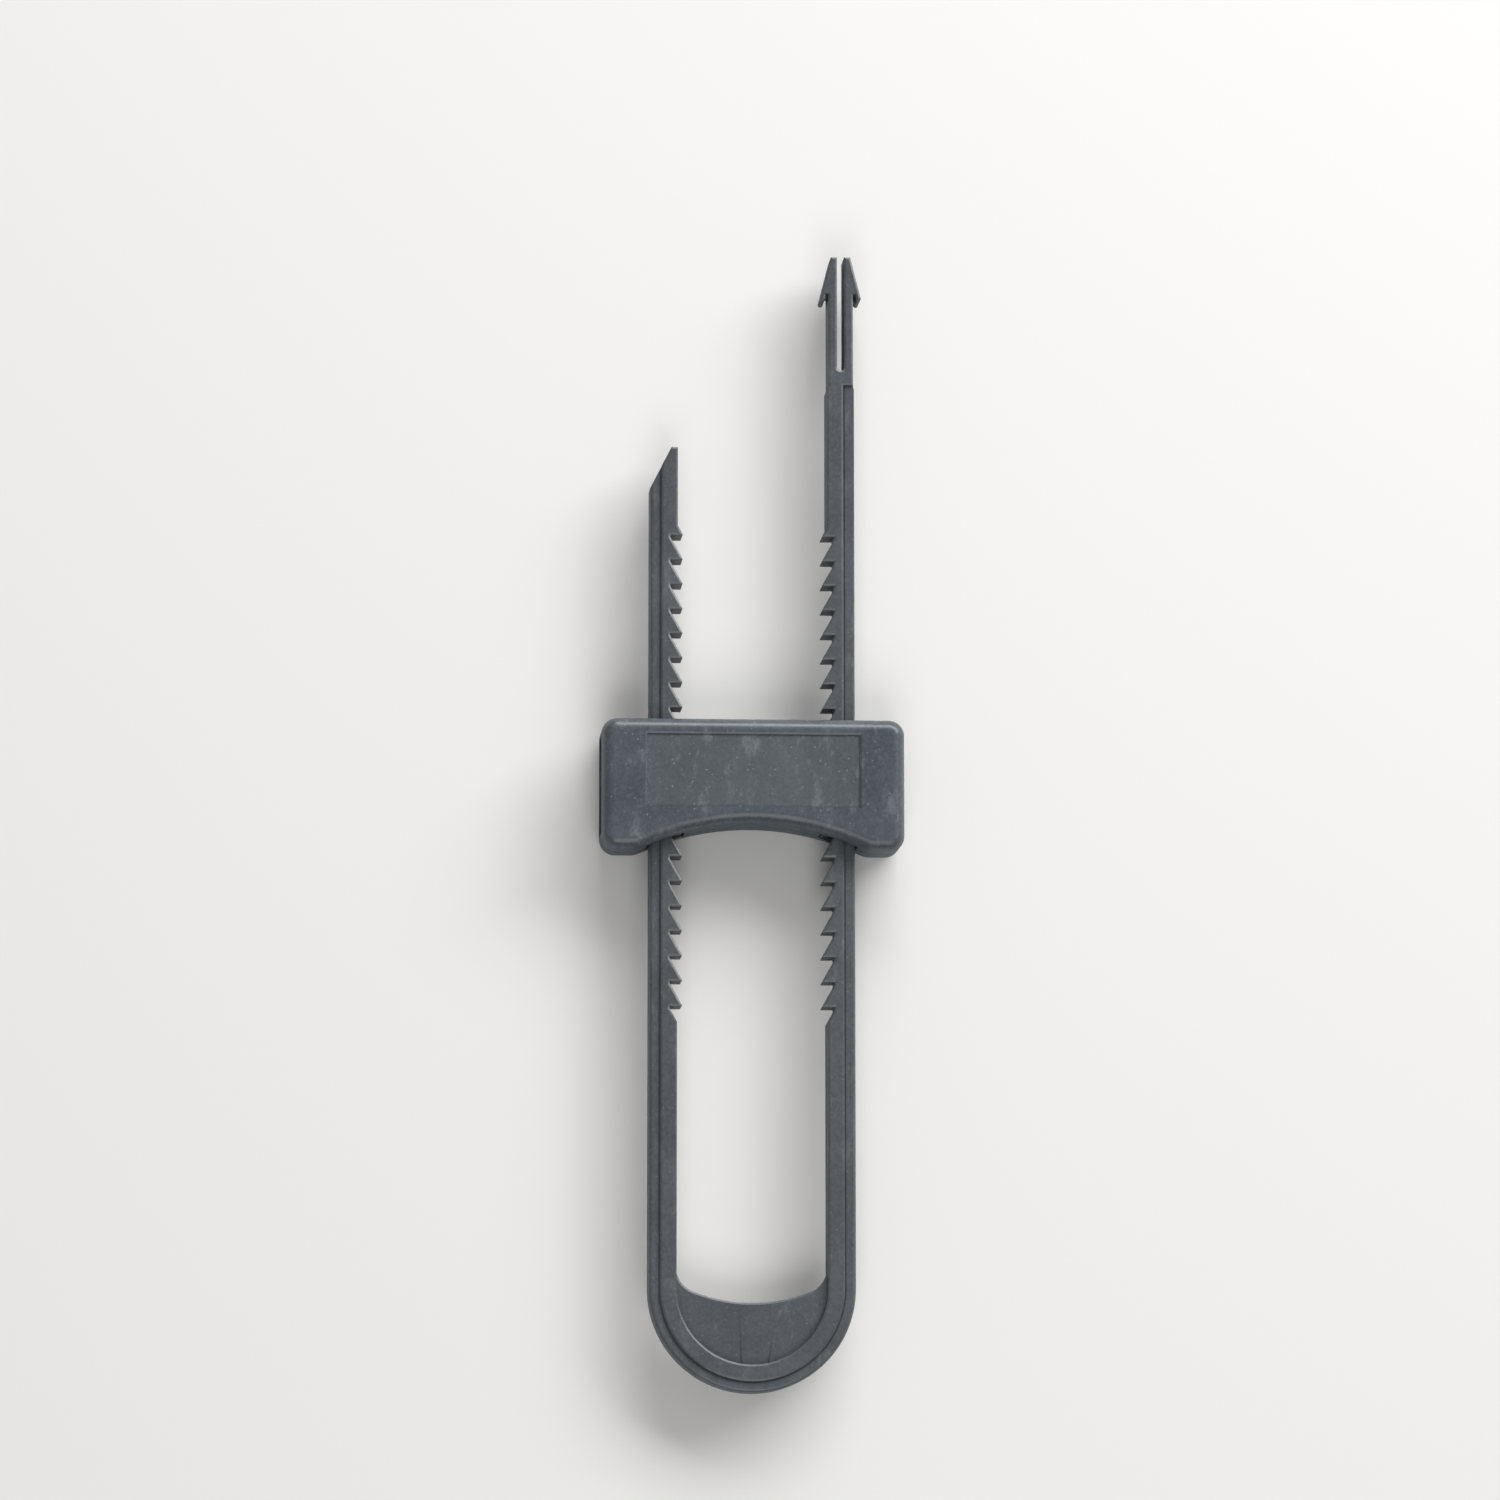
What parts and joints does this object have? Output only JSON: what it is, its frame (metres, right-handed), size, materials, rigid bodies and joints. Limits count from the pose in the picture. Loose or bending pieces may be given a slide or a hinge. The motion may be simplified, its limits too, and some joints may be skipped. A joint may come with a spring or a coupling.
{
  "type": "cabinet safety lock",
  "caption": "U-shaped toothed bar with a squeeze-button slider that ratchets along its legs to hold neighbouring cabinet handles or knobs shut; pressing the buttons frees the slider.",
  "frame": {"origin": "under the middle of the whole lock, on the back face of the slider that it lies on", "axes": "+Z out of the slider's front face, +Y along the legs away from the bend, +X towards the long leg"},
  "size_m": [0.0576, 0.2175, 0.014],
  "materials": {
    "bar_plastic": "satin moulded",
    "cover_plastic": "satin moulded",
    "button_plastic": "satin moulded",
    "spring_steel": "drawn wire"
  },
  "bodies": {
    "bar": {"u_bar": "bar_plastic"},
    "slider": {"front_cover": "cover_plastic", "rear_cover": "cover_plastic", "left_spring": "spring_steel", "right_spring": "spring_steel"},
    "left_button": {"left_button": "button_plastic"},
    "right_button": {"right_button": "button_plastic"}
  },
  "joints": [
    {"name": "slider_slide", "type": "slide", "parent": "bar", "child": "slider", "axis": [0, 1, 0], "range_m": [-0.06175, 0.08075]},
    {"name": "left_button_press", "type": "slide", "parent": "slider", "child": "left_button", "axis": [1, 0, 0], "range_m": [0, 0.002], "stiffness_N_per_m": 800, "springref_m": -0.003, "deforming": ["left_spring"]},
    {"name": "right_button_press", "type": "slide", "parent": "slider", "child": "right_button", "axis": [-1, 0, 0], "range_m": [0, 0.002], "stiffness_N_per_m": 800, "springref_m": -0.003, "deforming": ["right_spring"]}
  ]
}
